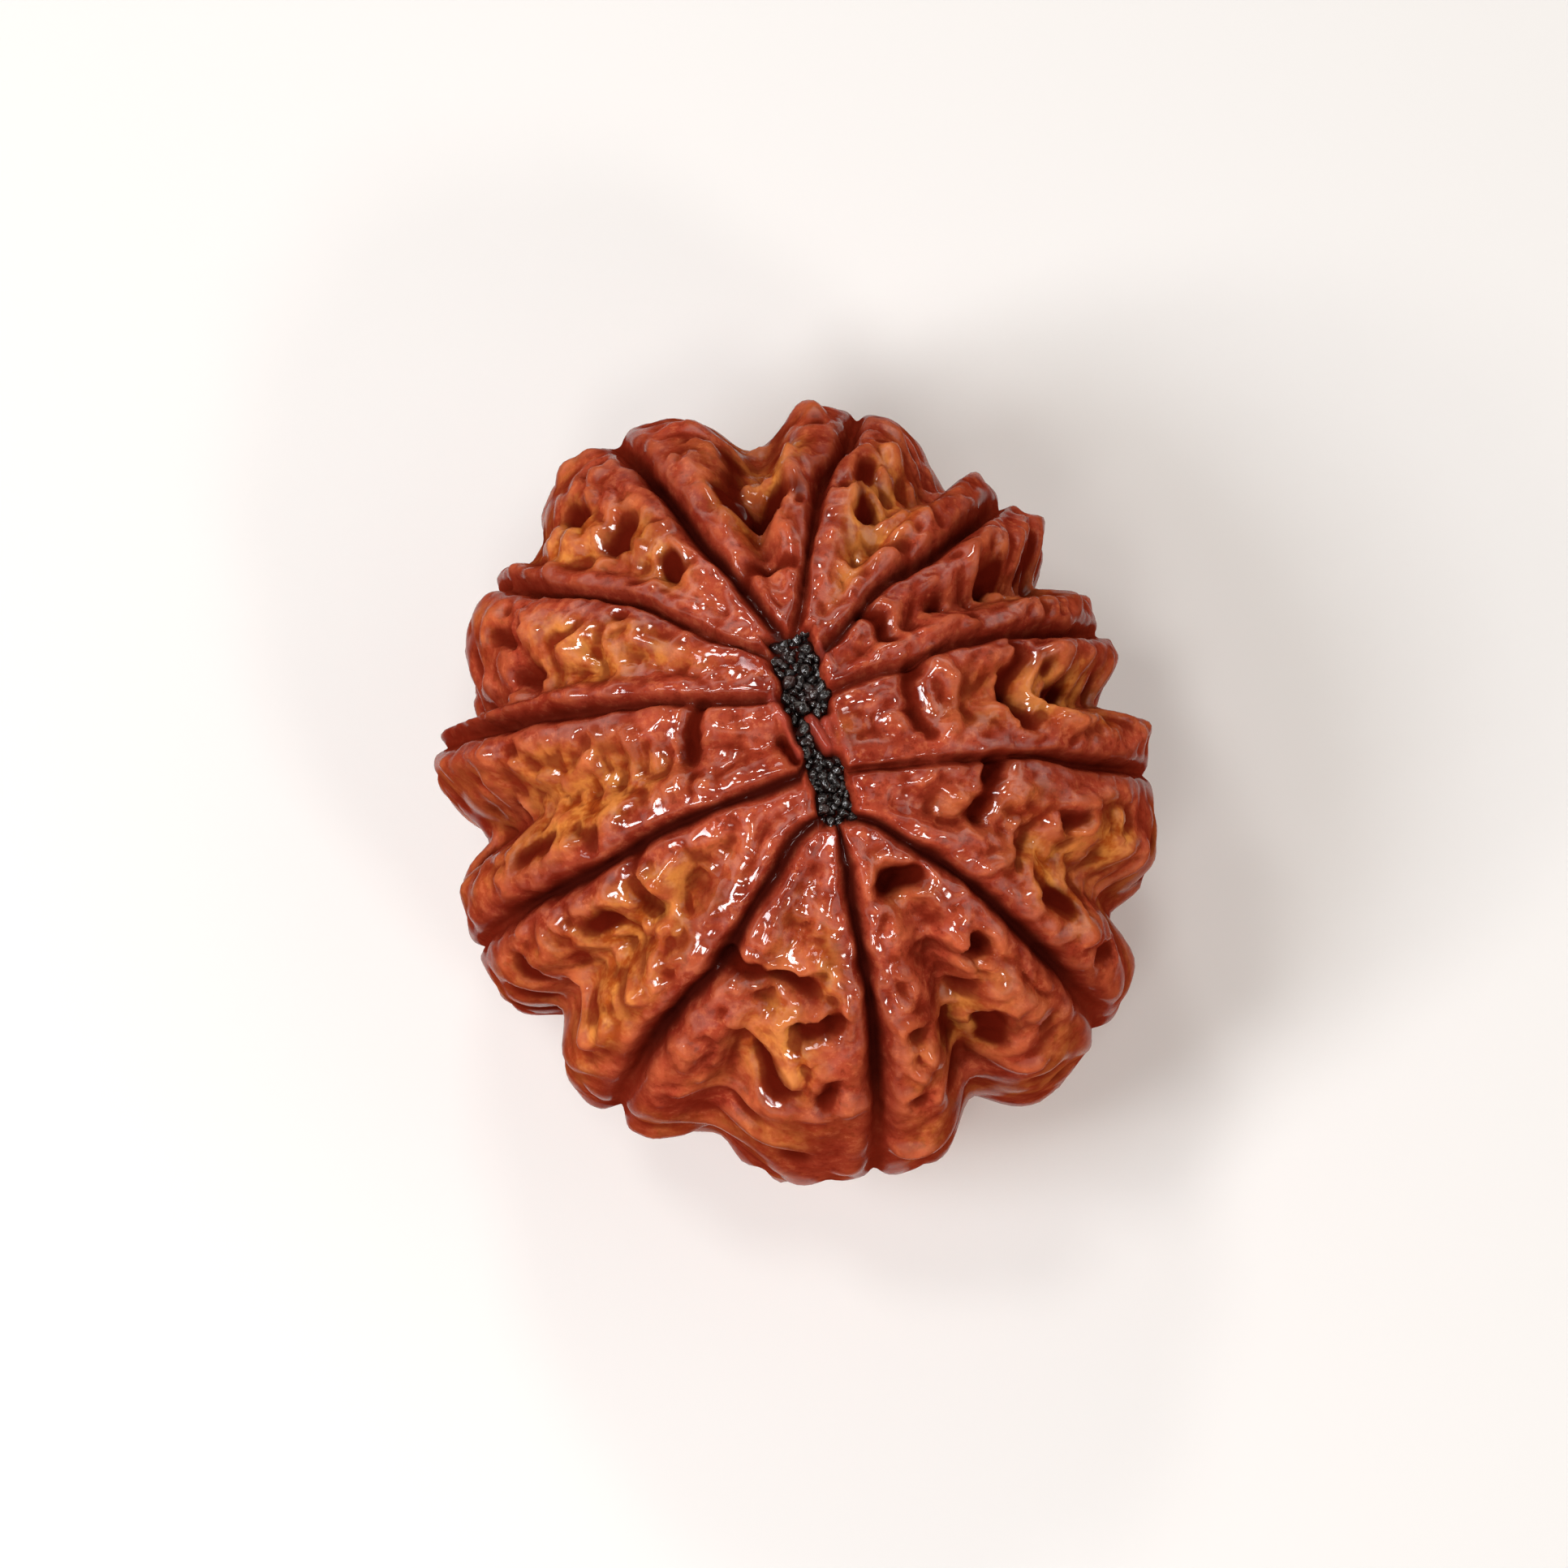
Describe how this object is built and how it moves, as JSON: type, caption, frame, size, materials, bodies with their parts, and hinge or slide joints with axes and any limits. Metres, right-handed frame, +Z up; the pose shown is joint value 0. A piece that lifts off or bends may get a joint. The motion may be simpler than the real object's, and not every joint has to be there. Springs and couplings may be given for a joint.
{
  "type": "rudraksha seed",
  "caption": "Loose rudraksha seed: a squat oval stone with seamed ridges that run from a dark slot on top to a scar underneath, kept as a bead or ornament.",
  "frame": {"origin": "middle of the stone's outline seen from above, on the surface that it rests on", "axes": "+Z up through the slot, the stone's least extent; +Y to the back, its greatest; +X to the right"},
  "size_m": [0.023, 0.0248, 0.0205],
  "materials": {
    "stone": "oiled red-brown stone, amber in the hollows, near black in the seams and the slot"
  },
  "bodies": {
    "root": {"rudraksha_seed": "stone"}
  },
  "joints": []
}
